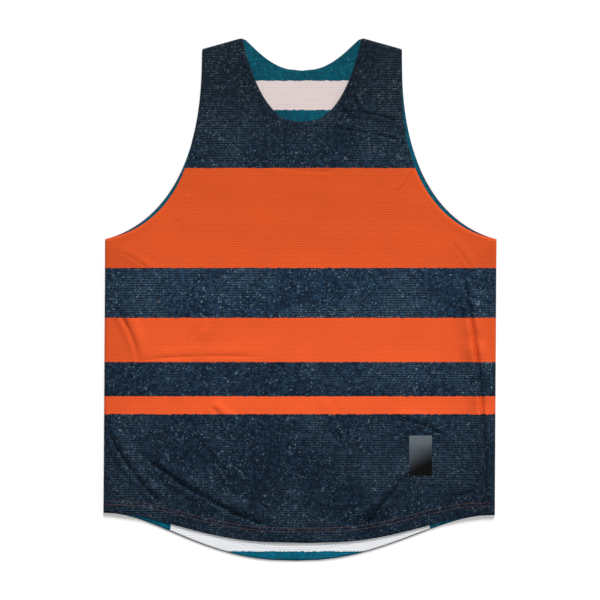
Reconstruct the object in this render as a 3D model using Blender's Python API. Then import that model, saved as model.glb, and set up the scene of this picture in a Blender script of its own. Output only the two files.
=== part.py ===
"""A reversible practice top, laid flat on its back.

It is two sleeveless tops, one inside the other, each with a front and a back, joined along the
neck and the armholes and hemmed apart.  X runs across the chest, Y from the hem to the
shoulders and Z up from the table.  The origin is under the middle of the top.
"""

import math
from collections import namedtuple

import bmesh
import bpy
from mathutils import Vector
from mathutils.geometry import delaunay_2d_cdt

MM = 0.001

# ---- Driving dimensions of the cut, in metres ------------------------------------------------
CHEST = 0.550  # across, under the arms, and the same down to the hem
LENGTH = 0.735  # from the neck end of the shoulder to the lowest point of the back hem
UNDERARM_DROP = 0.283  # from the neck end of the shoulder down to the underarm
SHOULDER_WIDTH = 0.281  # across both shoulders, tip to tip
SHOULDER_SLOPE = 0.016  # how far the tip lies below the neck end
NECK_WIDTH = 0.167

HALF_CHEST = CHEST / 2
SHOULDER_TOP = LENGTH / 2
SHOULDER_TIP = SHOULDER_TOP - SHOULDER_SLOPE
UNDERARM = SHOULDER_TOP - UNDERARM_DROP
BACK_HEM_DROP = 0.066  # the shirt tail, below the ends of the side seams
SIDE_END = -LENGTH / 2 + BACK_HEM_DROP

# The top was laid down a little askew: its shoulders lean to the wearer's left, and its hem
# tilts down on that side.
LEAN = 0.0062  # sideways, per metre up from the middle of the side seams
TILT = 1.5 * MM

# A neckline or a hem hangs depth * (1 - (x / half)^power)^fullness below its two ends, its
# lowest point moved sideways by its lean and its ends up and down by its tilt.
Hang = namedtuple("Hang", "half depth power fullness lean tilt")
FRONT_NECK = Hang(NECK_WIDTH / 2, depth=0.120, power=2.35, fullness=0.66, lean=0, tilt=0)
BACK_NECK = Hang(NECK_WIDTH / 2, depth=0.046, power=2.3, fullness=1.25, lean=0, tilt=0)
FRONT_HEM = Hang(HALF_CHEST, depth=0.041, power=2.6, fullness=2.4, lean=2 * MM, tilt=TILT)
BACK_HEM = Hang(
    HALF_CHEST, depth=BACK_HEM_DROP, power=2.28, fullness=2.12, lean=-8 * MM, tilt=TILT
)

# The armhole widens by 1 - (1 - t^power)^fullness, t running from 0 at the shoulder to the
# reach at the underarm.
ARMHOLE_POWER = 2.476
ARMHOLE_FULLNESS = 0.425
ARMHOLE_REACH = 0.977
# The front armholes are scooped further in than the back ones, which show beside them.  A
# larger skew puts the deepest scoop nearer the underarm.
Scoop = namedtuple("Scoop", "depth skew")
FRONT_SCOOP = {"left": Scoop(5.6 * MM, 2.2), "right": Scoop(6.8 * MM, 1.4)}
NO_SCOOP = {"left": Scoop(0.0, 1.0), "right": Scoop(0.0, 1.0)}

# ---- The four plies --------------------------------------------------------------------------
PLY = 1.0 * MM
GAP = 0.3 * MM
STEP = PLY + GAP
BACK_TOP = PLY
BACK_LINING_TOP = BACK_TOP + STEP
FRONT_LINING_TOP = BACK_LINING_TOP + STEP
FRONT_TOP = FRONT_LINING_TOP + STEP
ROLL = 5.0 * MM  # how far in the front starts to turn down over its own edge
AIR = 2.8 * MM  # how high the air under the front holds it up, away from its edges
AIR_REACH = 95 * MM

# How far each lining lies inside the outline of its own outer piece, edge by edge.
BACK_LINING_INSET = {
    "hem": 1.2 * MM,
    "side": 2.0 * MM,
    "armhole": 0.4 * MM,
    "shoulder": 2.0 * MM,
    "neck": 0.4 * MM,
}
FRONT_LINING_INSET = {
    "hem": 9.0 * MM,
    "side": 6.0 * MM,
    "armhole": 6.0 * MM,
    "shoulder": 6.0 * MM,
    "neck": 6.0 * MM,
}
# The front is sewn to the back along the sides and shoulders and lies on the lining elsewhere.
ON_BACK = BACK_TOP + GAP
ON_LINING = BACK_LINING_TOP + GAP
FRONT_FOOT = {
    "hem": ON_LINING,
    "side": ON_BACK,
    "armhole": ON_LINING,
    "shoulder": ON_BACK,
    "neck": ON_LINING,
}

# ---- The largest folds of the front, as laid out, in millimetres -----------------------------
# From (x0, y0) to (x1, y1), the middle bowed to the left of that direction.
Fold = namedtuple("Fold", "x0 y0 x1 y1 bow rise reach")
FOLDS = (
    Fold(x0=-261, y0=-163, x1=-177, y1=-287, bow=-8, rise=3.4, reach=17),
    Fold(x0=-208, y0=-214, x1=-12, y1=-320, bow=-12, rise=3.6, reach=18),
    Fold(x0=-135, y0=-184, x1=-79, y1=-254, bow=2, rise=2.6, reach=14),
    Fold(x0=-124, y0=-144, x1=-86, y1=-180, bow=1, rise=1.9, reach=13),
    Fold(x0=-255, y0=8, x1=-205, y1=-88, bow=13, rise=2.4, reach=15),
    Fold(x0=230, y0=63, x1=268, y1=-303, bow=11, rise=3.2, reach=15),
    Fold(x0=91, y0=-308, x1=143, y1=-244, bow=2, rise=3.4, reach=15),
    Fold(x0=130, y0=-163, x1=206, y1=-186, bow=8, rise=2.2, reach=13),
    Fold(x0=53, y0=269, x1=149, y1=251, bow=4, rise=1.6, reach=11),
    Fold(x0=39, y0=245, x1=149, y1=225, bow=3, rise=1.6, reach=11),
    Fold(x0=-95, y0=16, x1=-187, y1=-184, bow=-12, rise=1.6, reach=18),
)
CREST_STEP = 15 * MM
FOLD_TAPER = 0.22  # share of a fold's length over which each end dies away

# ---- The hem label ---------------------------------------------------------------------------
LABEL_CENTRE = Vector((0.169, -0.219))
LABEL_WIDTH = 0.032
LABEL_HEIGHT = 0.056
LABEL_GAP = 0.6 * MM  # keeps its facets clear of those of the front below

# ---- How finely the pieces are divided -------------------------------------------------------
EDGE_PARTS = {"hem": 30, "side": 16, "armhole": 22, "shoulder": 4, "neck": 26}
LATTICE = 20 * MM
CLEAR = 0.55  # share of LATTICE that keeps its points off edges and folds
ROLL_ANGLES = (90, 60, 30, 0)
TURN_ANGLES = (90, 35, -35, -90)
CURVE_SAMPLES = 240

NAVY = (0.020, 0.040, 0.065)
TEAL = (0.003, 0.110, 0.165)
CHARCOAL = (0.040, 0.044, 0.050)


# ---- The outline of one piece ----------------------------------------------------------------
def evenly(points, parts):
    """The same polyline, as `parts` stretches of equal length."""
    lengths = [0.0]
    for a, b in zip(points, points[1:]):
        lengths.append(lengths[-1] + (b - a).length)
    made, at = [], 0
    for i in range(parts + 1):
        wanted = lengths[-1] * i / parts
        while at < len(points) - 2 and lengths[at + 1] < wanted:
            at += 1
        share = (wanted - lengths[at]) / (lengths[at + 1] - lengths[at])
        made.append(points[at].lerp(points[at + 1], min(max(share, 0.0), 1.0)))
    return made


def hanging(hang, level, parts):
    """A neckline or hem from left to right, its ends at `level`."""
    points = []
    for i in range(CURVE_SAMPLES + 1):
        x = math.sin(math.pi * (i / CURVE_SAMPLES - 0.5))
        drop = hang.depth * max(0.0, 1 - abs(x) ** hang.power) ** hang.fullness
        across = x * hang.half + hang.lean * (1 - x * x)
        points.append(Vector((across, level - drop - hang.tilt * x)))
    return evenly(points, parts)


def widening(t):
    return 1 - (1 - (ARMHOLE_REACH * t) ** ARMHOLE_POWER) ** ARMHOLE_FULLNESS


def armhole(scoop, parts):
    """The right armhole from the underarm up to the shoulder tip, with its scoop."""
    tip = SHOULDER_WIDTH / 2
    points = []
    for i in range(CURVE_SAMPLES + 1):
        t = math.cos(math.pi / 2 * i / CURVE_SAMPLES)
        x = tip + (HALF_CHEST - tip) * widening(t) / widening(1)
        points.append(Vector((x, SHOULDER_TIP + (UNDERARM - SHOULDER_TIP) * t)))
    points = evenly(points, parts)
    moved = list(points)
    for i in range(1, parts):
        along = (points[i + 1] - points[i - 1]).normalized()
        share = math.sin(math.pi * (1 - i / parts) ** scoop.skew)
        moved[i] = points[i] + Vector((-along.y, along.x)) * scoop.depth * share
    return moved


def mirrored(points):
    return [Vector((-p.x, p.y)) for p in reversed(points)]


def leaning(point):
    """The point as the top was laid down."""
    return Vector((point.x + LEAN * (point.y - (UNDERARM + SIDE_END) / 2), point.y))


def outline(hem, neck, scoop):
    """Corners and curve points anticlockwise from the left end of the hem, each with the name
    of the edge that starts at it."""
    parts = EDGE_PARTS
    tip = Vector((SHOULDER_WIDTH / 2, SHOULDER_TIP))
    shoulder = evenly([tip, Vector((neck.half, SHOULDER_TOP))], parts["shoulder"])
    right, left = (
        evenly([Vector((HALF_CHEST, SIDE_END + up)), Vector((HALF_CHEST, UNDERARM))], parts["side"])
        for up in (-hem.tilt, hem.tilt)
    )
    stretches = [
        ("hem", hanging(hem, SIDE_END, parts["hem"])),
        ("side", right),
        ("armhole", armhole(scoop["right"], parts["armhole"])),
        ("shoulder", shoulder),
        ("neck", hanging(neck, SHOULDER_TOP, parts["neck"])[::-1]),
        ("shoulder", mirrored(shoulder)),
        ("armhole", mirrored(armhole(scoop["left"], parts["armhole"]))),
        ("side", mirrored(left)),
    ]
    return [(leaning(point), kind) for kind, points in stretches for point in points[:-1]]


def inset(loop, by):
    """The loop with each edge moved in by by[kind]; its points keep their order and number."""
    made = []
    for i, (point, kind) in enumerate(loop):
        before, kind_before = loop[i - 1]
        after = loop[(i + 1) % len(loop)][0]
        arriving = (point - before).normalized()
        leaving = (after - point).normalized()
        n0, d0 = Vector((-arriving.y, arriving.x)), by[kind_before]
        n1, d1 = Vector((-leaving.y, leaving.x)), by[kind]
        cross = n0.x * n1.y - n0.y * n1.x
        if abs(cross) < 0.05:
            move = (n0 + n1).normalized() * (d0 + d1) / 2
        else:
            move = Vector((d0 * n1.y - d1 * n0.y, d1 * n0.x - d0 * n1.x)) / cross
        made.append((point + move, kind))
    return made


def all_round(distance):
    return {kind: distance for kind in (*EDGE_PARTS, "label")}


# ---- Heights ---------------------------------------------------------------------------------
def to_segment(point, a, b):
    """Distance from a point to the stretch a-b, and how far along it the nearest point lies."""
    along = b - a
    share = min(max((point - a).dot(along) / along.length_squared, 0.0), 1.0)
    return (point - a - along * share).length, share


def to_loop(point, loop):
    points = [p for p, _ in loop]
    ends = zip(points, points[1:] + points[:1])
    return min(to_segment(point, a, b)[0] for a, b in ends)


def crest(fold):
    """Points along the crest of a fold, and how far each lies along it."""
    start, end = Vector((fold.x0, fold.y0)) * MM, Vector((fold.x1, fold.y1)) * MM
    across = (end - start).normalized()
    across = Vector((-across.y, across.x)) * fold.bow * MM
    parts = max(3, round((end - start).length / CREST_STEP))
    shares = [i / parts for i in range(parts + 1)]
    return [start.lerp(end, s) + across * 4 * s * (1 - s) for s in shares]


def rise_of(fold, line, point):
    """How high a fold lifts the cloth at a point."""
    parts = len(line) - 1
    found = [to_segment(point, a, b) + (i,) for i, (a, b) in enumerate(zip(line, line[1:]))]
    away, share, i = min(found)
    near = 1 - away / (fold.reach * MM)
    if near <= 0:
        return 0.0
    along = (i + share) / parts
    fading = min(along, 1 - along) / FOLD_TAPER
    return fold.rise * MM * near * near * (3 - 2 * near) * min(1.0, fading)


def front_height(front):
    """The height of the front's upper face, as a function of a point."""
    crests = [(fold, crest(fold)) for fold in FOLDS]

    def height(point):
        far = 1 - min(1.0, to_loop(point, front) / AIR_REACH)
        folds = sum(rise_of(fold, line, point) for fold, line in crests)
        return FRONT_TOP + AIR * (1 - far * far) + folds

    return height


# ---- Walls -----------------------------------------------------------------------------------
def rolled_edge():
    """Stations from the upper face round to the lower one, of an edge that turns down to its
    foot: how far each lies in from the outline, and its height from top and foot."""
    stations = []
    for angle in ROLL_ANGLES:
        out, up = math.cos(math.radians(angle)), math.sin(math.radians(angle))
        stations.append((ROLL * (1 - out), lambda top, foot, up=up: foot + (top - foot) * up))
    for angle in reversed(ROLL_ANGLES):
        out, up = math.cos(math.radians(angle)), math.sin(math.radians(angle))
        inner = PLY + (ROLL - PLY) * (1 - out)
        stations.append((inner, lambda top, foot, up=up: foot + (top - PLY - foot) * up))
    return stations


def plain_edge():
    """The same for a ply that simply ends, with its edge rounded."""
    stations = []
    for angle in TURN_ANGLES:
        out, up = math.cos(math.radians(angle)), math.sin(math.radians(angle))
        height = PLY / 2 * (1 - up)
        stations.append((PLY / 2 * (1 - out), lambda top, foot, h=height: top - h))
    return stations


def inside(point, loop):
    crossings = 0
    for (a, _), (b, _) in zip(loop, loop[1:] + loop[:1]):
        if (a.y > point.y) != (b.y > point.y):
            crossings += point.x < a.x + (point.y - a.y) / (b.y - a.y) * (b.x - a.x)
    return crossings % 2 == 1


def fold_points(folds):
    """The crest of each fold and a row of points on either side of it."""
    made = []
    for fold in folds:
        line = crest(fold)
        for i, point in enumerate(line):
            along = (line[min(i + 1, len(line) - 1)] - line[max(i - 1, 0)]).normalized()
            across = Vector((-along.y, along.x)) * fold.reach * MM
            made += [point, point + across * 0.62, point - across * 0.62]
    return made


def lattice(loop, pitch, folds):
    """Points to divide the inside of a loop with: those of the folds, then an even lattice."""
    clear = CLEAR * pitch
    made = []
    for point in fold_points(folds):
        if not inside(point, loop) or to_loop(point, loop) < clear / 2:
            continue
        if all((point - other).length > clear / 2 for other in made):
            made.append(point)
    kept = len(made)
    columns = round(HALF_CHEST / pitch) + 1
    rows = round(LENGTH / 2 / (pitch * math.sqrt(0.75))) + 1
    for row in range(-rows, rows + 1):
        for column in range(-columns, columns + 1):
            shifted = column + (row % 2) / 2
            point = Vector((shifted * pitch, row * pitch * math.sqrt(0.75)))
            if not inside(point, loop) or to_loop(point, loop) < clear:
                continue
            if all((point - other).length > clear for other in made[:kept]):
                made.append(point)
    return made


def painted(name, colour):
    material = bpy.data.materials.new(name)
    material.use_nodes = True
    shader = material.node_tree.nodes["Principled BSDF"]
    shader.inputs["Base Color"].default_value = (*colour, 1.0)
    shader.inputs["Roughness"].default_value = 0.75
    shader.inputs["Metallic"].default_value = 0.0
    return material


def wall(name, loop, stations, height, foot, colour, pitch=None, folds=(), parent=None):
    """One ply: an upper and a lower face over the loop, joined round the edge through the
    stations.  With no pitch the faces are flat and take no points inside."""
    mesh = bmesh.new()
    rings = [inset(loop, all_round(distance)) for distance, _ in stations]
    border = rings[0]
    tops = [height(point) for point, _ in border]
    feet = [
        max(foot[kind], foot[loop[i - 1][1]]) if foot else 0.0
        for i, (_, kind) in enumerate(loop)
    ]
    verts = []
    for ring, (_, height_at) in zip(rings, stations):
        zs = [height_at(top, low) for top, low in zip(tops, feet)]
        verts.append([mesh.verts.new((*p, z)) for (p, _), z in zip(ring, zs)])
    count = len(loop)
    for ring, following in zip(verts, verts[1:]):
        for i in range(count):
            j = (i + 1) % count
            mesh.faces.new((ring[i], following[i], following[j], ring[j]))

    middle = lattice(border, pitch, folds) if pitch else []
    flat = [point for point, _ in border] + middle
    edges = [(i, (i + 1) % count) for i in range(count)]
    cut = delaunay_2d_cdt(flat, edges, [list(range(count))], 1, 1e-7)
    upper, lower = {}, {}
    for made, sources in enumerate(cut[3]):
        i = sources[0]
        if i < count:
            upper[made], lower[made] = verts[0][i], verts[-1][i]
            continue
        top = height(flat[i])
        upper[made] = mesh.verts.new((*flat[i], top))
        lower[made] = mesh.verts.new((*flat[i], top - PLY))
    for face in cut[2]:
        mesh.faces.new([upper[v] for v in face])
        mesh.faces.new([lower[v] for v in reversed(face)])

    bmesh.ops.recalc_face_normals(mesh, faces=mesh.faces)
    data = bpy.data.meshes.new(name)
    mesh.to_mesh(data)
    mesh.free()
    data.shade_smooth()
    data.set_sharp_from_angle(angle=math.radians(50))
    data.materials.append(painted(name, colour))
    piece = bpy.data.objects.new(name, data)
    bpy.context.scene.collection.objects.link(piece)
    piece.parent = parent
    return piece


# ---- The pieces ------------------------------------------------------------------------------
def flat_at(top):
    """The height of a flat face, as a function of a point."""
    return lambda point: top


def label_loop():
    """The label's four sides, each divided, anticlockwise."""
    half = Vector((LABEL_WIDTH / 2, LABEL_HEIGHT / 2))
    corners = [
        LABEL_CENTRE + Vector((half.x * a, half.y * b))
        for a, b in ((-1, -1), (1, -1), (1, 1), (-1, 1))
    ]
    points = []
    for (a, b), parts in zip(zip(corners, corners[1:] + corners[:1]), (4, 6, 4, 6)):
        points += evenly([a, b], parts)[:-1]
    return [(point, "label") for point in points]


def main():
    for old in list(bpy.data.objects):
        bpy.data.objects.remove(old)
    top = bpy.data.objects.new("practice_top", None)
    bpy.context.scene.collection.objects.link(top)

    back = outline(BACK_HEM, BACK_NECK, NO_SCOOP)
    front = outline(FRONT_HEM, FRONT_NECK, FRONT_SCOOP)
    front_face = front_height(front)

    wall("back", back, plain_edge(), flat_at(BACK_TOP), None, NAVY, parent=top)
    wall(
        "back_lining",
        inset(back, BACK_LINING_INSET),
        plain_edge(),
        flat_at(BACK_LINING_TOP),
        None,
        TEAL,
        parent=top,
    )
    wall(
        "front_lining",
        inset(front, FRONT_LINING_INSET),
        plain_edge(),
        flat_at(FRONT_LINING_TOP),
        None,
        TEAL,
        parent=top,
    )
    wall(
        "front",
        front,
        rolled_edge(),
        front_face,
        FRONT_FOOT,
        NAVY,
        pitch=LATTICE,
        folds=FOLDS,
        parent=top,
    )
    wall(
        "label",
        label_loop(),
        plain_edge(),
        lambda point: front_face(point) + LABEL_GAP + PLY,
        None,
        CHARCOAL,
        pitch=LATTICE / 2,
        parent=top,
    )


main()
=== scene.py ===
# %% [markdown]
# # A reversible practice top, laid flat
#
# The object is two sleeveless mesh tops worn as one: a navy and orange side out, a teal and
# white side in, joined along the neck and the armholes and hemmed apart.  It lies on its back
# on a pale floor.  Four plies of ribbed knit make it, and each is one closed thin shell here.
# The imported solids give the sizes, so the first cell loads them and keeps their box.

# %% Load the solids
import math
from collections import namedtuple

import bmesh
import bpy
import numpy as np
from mathutils import Matrix, Vector
from mathutils.kdtree import KDTree


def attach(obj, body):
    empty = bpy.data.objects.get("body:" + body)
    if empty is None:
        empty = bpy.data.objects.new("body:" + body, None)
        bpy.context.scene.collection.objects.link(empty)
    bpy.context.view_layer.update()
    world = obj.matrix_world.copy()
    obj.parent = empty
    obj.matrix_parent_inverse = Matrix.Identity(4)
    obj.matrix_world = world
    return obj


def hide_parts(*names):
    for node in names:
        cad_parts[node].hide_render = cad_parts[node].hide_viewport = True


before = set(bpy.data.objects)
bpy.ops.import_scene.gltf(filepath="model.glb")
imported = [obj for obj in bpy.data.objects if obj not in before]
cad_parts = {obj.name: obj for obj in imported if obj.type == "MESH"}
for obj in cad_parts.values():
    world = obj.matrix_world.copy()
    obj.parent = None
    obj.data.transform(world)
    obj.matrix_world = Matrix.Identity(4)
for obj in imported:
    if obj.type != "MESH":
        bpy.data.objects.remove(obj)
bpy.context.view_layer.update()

MM = 0.001

# %% [markdown]
# ## The cut
#
# A cutter draws half of a top: a straight side, an armhole, a short sloping shoulder, a
# neckline and a curved hem.  The solids are built from the same dimensions, apart from the
# front's neckline and armholes, which are a few millimetres closer to the real ones here.  The
# neckline and hem hang below their two ends by a power curve, which takes a few numbers where
# a drawn spline would take a dozen points.  The top was laid down a little askew, so its hem
# tilts and its shoulders lean to the wearer's left.

# %% The dimensions of the cut
HALF_CHEST = 275 * MM
SHOULDER_TOP = 367.5 * MM
SHOULDER_TIP = 351.5 * MM
SHOULDER_HALF = 140.5 * MM
NECK_HALF = 83.5 * MM
UNDERARM = 84.5 * MM
SIDE_END = -301.5 * MM

TILT = 1.5 * MM
LEAN = 0.0062

Hang = namedtuple("Hang", "half depth power fullness lean tilt")
FRONT_NECK = Hang(NECK_HALF, depth=118 * MM, power=2.5, fullness=0.85, lean=1 * MM, tilt=0)
BACK_NECK = Hang(NECK_HALF, depth=46 * MM, power=2.3, fullness=1.25, lean=0, tilt=0)
FRONT_HEM = Hang(HALF_CHEST, depth=41 * MM, power=2.6, fullness=2.4, lean=2 * MM, tilt=TILT)
BACK_HEM = Hang(HALF_CHEST, depth=66 * MM, power=2.28, fullness=2.12, lean=-8 * MM, tilt=TILT)

ARMHOLE_POWER = 2.476
ARMHOLE_FULLNESS = 0.425
ARMHOLE_REACH = 0.977
Scoop = namedtuple("Scoop", "depth skew reach")
FRONT_SCOOP = {"left": Scoop(5.0 * MM, 1.0, 0.6), "right": Scoop(6.4 * MM, 0.9, 0.88)}
NO_SCOOP = {"left": Scoop(0.0, 1.0, 1.0), "right": Scoop(0.0, 1.0, 1.0)}
NECK_TURN = 4.5 * MM
TIP_TURN = 2 * MM
EDGES = ("hem", "side", "armhole", "shoulder", "neck")


# %% Curves of the outline
def hanging(hang, level, parts=240):
    """A neckline or hem as an array of points, from left to right."""
    s = np.sin(np.pi * (np.linspace(0, 1, parts + 1) - 0.5))
    drop = hang.depth * np.maximum(0, 1 - np.abs(s) ** hang.power) ** hang.fullness
    x = s * hang.half + hang.lean * (1 - s * s)
    return np.stack([x, level - drop - hang.tilt * s], axis=1)


def armhole(scoop, parts=160):
    """The right armhole, from the underarm up to the shoulder tip."""
    t = np.cos(np.pi / 2 * np.linspace(0, 1, 4 * parts + 1))
    widening = 1 - (1 - (ARMHOLE_REACH * t) ** ARMHOLE_POWER) ** ARMHOLE_FULLNESS
    x = SHOULDER_HALF + (HALF_CHEST - SHOULDER_HALF) * widening / widening[0]
    y = SHOULDER_TIP + (UNDERARM - SHOULDER_TIP) * t
    run = np.concatenate([[0], np.cumsum(np.hypot(np.diff(x), np.diff(y)))])
    even = np.linspace(0, run[-1], parts + 1)
    x, y = np.interp(even, run, x), np.interp(even, run, y)
    dx, dy = np.gradient(x), np.gradient(y)
    inward = np.stack([-dy, dx], axis=1) / np.hypot(dx, dy)[:, None]
    share = np.sin(np.pi * np.minimum(1, even / run[-1] / scoop.reach) ** scoop.skew)
    return np.stack([x, y], axis=1) + inward * (scoop.depth * share)[:, None]


def mirrored(points):
    return (points * (-1, 1))[::-1]


def leaning(points):
    """The same points as the top was laid down, leaning about the middle of its side seams."""
    x, y = points.T
    return np.stack([x + LEAN * (y - (UNDERARM + SIDE_END) / 2), y], axis=1)


def turned(points, corner, reach):
    """The outline with one corner rounded off, as a seam is that was sewn and turned."""
    step = np.hypot(*np.diff(points, axis=0).T)
    run = np.concatenate([[0], np.cumsum(step)])
    at = run - run[np.hypot(*(points - corner).T).argmin()]
    ends = [[np.interp(end, at, axis) for axis in points.T] for end in (-reach, reach)]
    share = np.clip((at + reach) / (2 * reach), 0, 1)[:, None]
    curve = (1 - share) ** 2 * ends[0] + 2 * share * (1 - share) * corner + share**2 * ends[1]
    return np.where(np.abs(at)[:, None] < reach, curve, points)


def outline(hem, neck, scoop):
    """The cut piece anticlockwise: its points, and the edge that starts at each."""
    tip = np.array([SHOULDER_HALF, SHOULDER_TIP])
    top = np.array([NECK_HALF, SHOULDER_TOP])
    shoulder = np.linspace(tip, top, num=60)
    sides = [
        np.linspace([HALF_CHEST, SIDE_END + lower], [HALF_CHEST, UNDERARM], num=40)
        for lower in (-TILT, TILT)
    ]
    stretches = [
        ("hem", hanging(hem, SIDE_END)),
        ("side", sides[0]),
        ("armhole", armhole(scoop["right"])),
        ("shoulder", shoulder),
        ("neck", hanging(neck, SHOULDER_TOP)[::-1]),
        ("shoulder", mirrored(shoulder)),
        ("armhole", mirrored(armhole(scoop["left"]))),
        ("side", mirrored(sides[1])),
    ]
    points = np.concatenate([curve[:-1] for _, curve in stretches])
    kinds = [kind for kind, curve in stretches for _ in curve[:-1]]
    for side in ((-1, 1), (1, 1)):
        points = turned(points, top * side, NECK_TURN)
        points = turned(points, tip * side, TIP_TURN)
    return leaning(points), kinds


def area_of(points):
    x, y = points.T
    return abs(np.dot(x, np.roll(y, -1)) - np.dot(y, np.roll(x, -1))) / 2


front_cut = outline(FRONT_HEM, FRONT_NECK, FRONT_SCOOP)
back_cut = outline(BACK_HEM, BACK_NECK, NO_SCOOP)
print("front", round(area_of(front_cut[0]), 3), "m2, back", round(area_of(back_cut[0]), 3), "m2")

# %% [markdown]
# The linings are cut a little smaller, so that they stay hidden at the seams.  At a sharp
# corner the two moved edges meet in a mitre.  Everywhere else a point simply moves in square
# to the outline, by an amount that changes little by little from one edge to the next,
# because the mitre of two edges that run nearly straight on would shoot far out.


# %% Cutting a lining smaller
SHARP = 0.8  # the sine of the angle between two edges that meet in a corner
EVENED = 5  # points on either side


def inset(cut, by):
    """The same outline with each edge moved in by by[kind]."""
    points, kinds = cut
    leaving = np.roll(points, -1, axis=0) - points
    leaving /= np.linalg.norm(leaving, axis=1)[:, None]
    n1 = np.stack([-leaving[:, 1], leaving[:, 0]], axis=1)
    d1 = np.array([by[kind] for kind in kinds])
    n0, d0 = np.roll(n1, 1, axis=0), np.roll(d1, 1)
    cross = n0[:, 0] * n1[:, 1] - n0[:, 1] * n1[:, 0]
    straight = np.abs(cross) < SHARP
    shifts = range(-EVENED, EVENED + 1)
    even = np.mean([np.roll(d0 + d1, shift) for shift in shifts], axis=0) / 2
    safe = np.where(straight, 1.0, cross)
    mitre_x = (d0 * n1[:, 1] - d1 * n0[:, 1]) / safe
    mitre_y = (d1 * n0[:, 0] - d0 * n1[:, 0]) / safe
    middle = n0 + n1
    middle *= (even / np.linalg.norm(middle, axis=1))[:, None]
    mitre = np.stack([mitre_x, mitre_y], axis=1)
    return points + np.where(straight[:, None], middle, mitre), kinds


BACK_LINING_INSET = dict(zip(EDGES, np.array([1.2, 2.0, 0.4, 2.0, 0.4]) * MM))
FRONT_LINING_INSET = dict(zip(EDGES, np.array([9.0, 6.0, 6.0, 6.0, 6.0]) * MM))
back_lining_cut = inset(back_cut, BACK_LINING_INSET)
front_lining_cut = inset(front_cut, FRONT_LINING_INSET)

# %% [markdown]
# ## Rows of knit
#
# The cloth is a mesh knit with a raised rib every 3.44 mm, straight across the body.  A sheet
# of it could be a plain plane with a bump map, but ribs that are really there still show when
# the light rakes over them.  So each ply is a grid whose rows are the rows of the knit, two
# to a rib, and every row runs from one edge of the cut piece to the other.  Above the bottom
# of the neckline a row splits in two, one for each strap.  The points of a row stand closer
# together at the sides, where most folds are, than in the middle.

# %% Where the rows lie
RIB = 3.44 * MM
ROWS_PER_RIB = 2
GRADE = 0.55
CROWDED = {"face": (0.0, 0.6, 1.6, 3.0, 5.0), "under": (0.0, 1.2, 5.0)}  # mm
SHORT_ROW = 30 * MM
NUDGE = 1e-7  # takes a row off the points of the outline that lie on it
WELD = 2e-6


def rows_of(cut, per_rib):
    """Where each row lies, the lowest and highest point of the cut piece included."""
    points, kinds = cut
    ys = points[:, 1]
    step = RIB / per_rib
    first, last = math.ceil(ys.min() / step + 0.5), math.floor(ys.max() / step - 0.5)
    rows = np.arange(first, last + 1) * step
    neck = ys[[kind == "neck" for kind in kinds]].min()
    for corner in (neck, SIDE_END - TILT, SIDE_END + TILT, UNDERARM, SHOULDER_TIP):
        rows[np.abs(rows - corner).argmin()] = corner
    return np.concatenate([[ys.min()], rows, [ys.max()]]), neck


def crossings(points, y):
    """Where the outline meets a row, from left to right."""
    following = np.roll(points, -1, axis=0)
    a, b = points[:, 1], following[:, 1]
    cut = (a > y) != (b > y)
    share = (y - a[cut]) / (b[cut] - a[cut])
    return np.sort(points[cut, 0] + share * (following[cut, 0] - points[cut, 0]))


def widest(found):
    """The two ends of a strap, past any tiny loop that the inset left at its corners."""
    first = np.diff(found).argmax()
    return found[first], found[first + 1]


def tips_of(points):
    """The highest point of each strap."""
    straps = points[points[:, 0] < 0], points[points[:, 0] > 0]
    return [strap[strap[:, 1].argmax()] for strap in straps]


def ends_of_rows(cut, rows, neck):
    """Left edge, right edge and the two sides of the neckline, or the middle, at each row."""
    points, _ = cut
    middle = points[points[:, 1] == neck, 0].mean()
    low = points[points[:, 1].argmin(), 0]
    left_tip, right_tip = (tip[0] for tip in tips_of(points))
    ends = []
    for y in rows:
        if y == rows[0]:
            ends.append((low, low, low, low))
        elif y == rows[-1]:
            ends.append((left_tip, left_tip, right_tip, right_tip))
        elif y <= neck:
            nudge = -NUDGE if y in (neck, UNDERARM) else NUDGE
            left, right = crossings(points, y + nudge)[[0, -1]]
            centre = middle if y > SIDE_END + TILT else (left + right) / 2
            ends.append((left, centre, centre, right))
        else:
            found = crossings(points, y + NUDGE)
            ends.append((*widest(found[found < 0]), *widest(found[found > 0])))
    return np.array(ends)


def stations(start, end, parts, crowd):
    """Points of each half row from its outer end inwards, crowded where edges roll."""
    crowd = np.array(crowd) * MM
    span = (end - start)[:, None]
    near = crowd * np.minimum(1, np.abs(span) / SHORT_ROW) * np.sign(span)
    uncrowded = parts + 1 - 2 * len(crowd)
    inner = np.linspace(0, 1, uncrowded + 2)[None, 1:-1]
    inner = inner * (1 - GRADE) + GRADE * inner**2
    reach = near[:, -1:]
    middle = reach + (span - 2 * reach) * inner
    return start[:, None] + np.concatenate([near, middle, span - near[:, ::-1]], axis=1)


# %% [markdown]
# `bmesh.ops.create_grid` makes the grid, and its points are then moved to their rows.  A ply
# has a face grid, finely divided, and an under grid with fewer columns but the same rows, so
# the two share every point of the edge and weld into one closed shell.


# %% Laying a grid on the rows
def lay_grid(mesh, x, y, z, face_down):
    """A grid whose points lie at the arrays x, y and z."""
    count = x.shape
    made = bmesh.ops.create_grid(mesh, x_segments=count[1] - 1, y_segments=count[0] - 1, size=1)
    places = np.stack([x.ravel(), y.ravel(), z.ravel()], axis=1).tolist()
    for vert, place in zip(made["verts"], places):
        vert.co = place
    if face_down:
        faces = list({face for vert in made["verts"] for face in vert.link_faces})
        bmesh.ops.reverse_faces(mesh, faces=faces)


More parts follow.
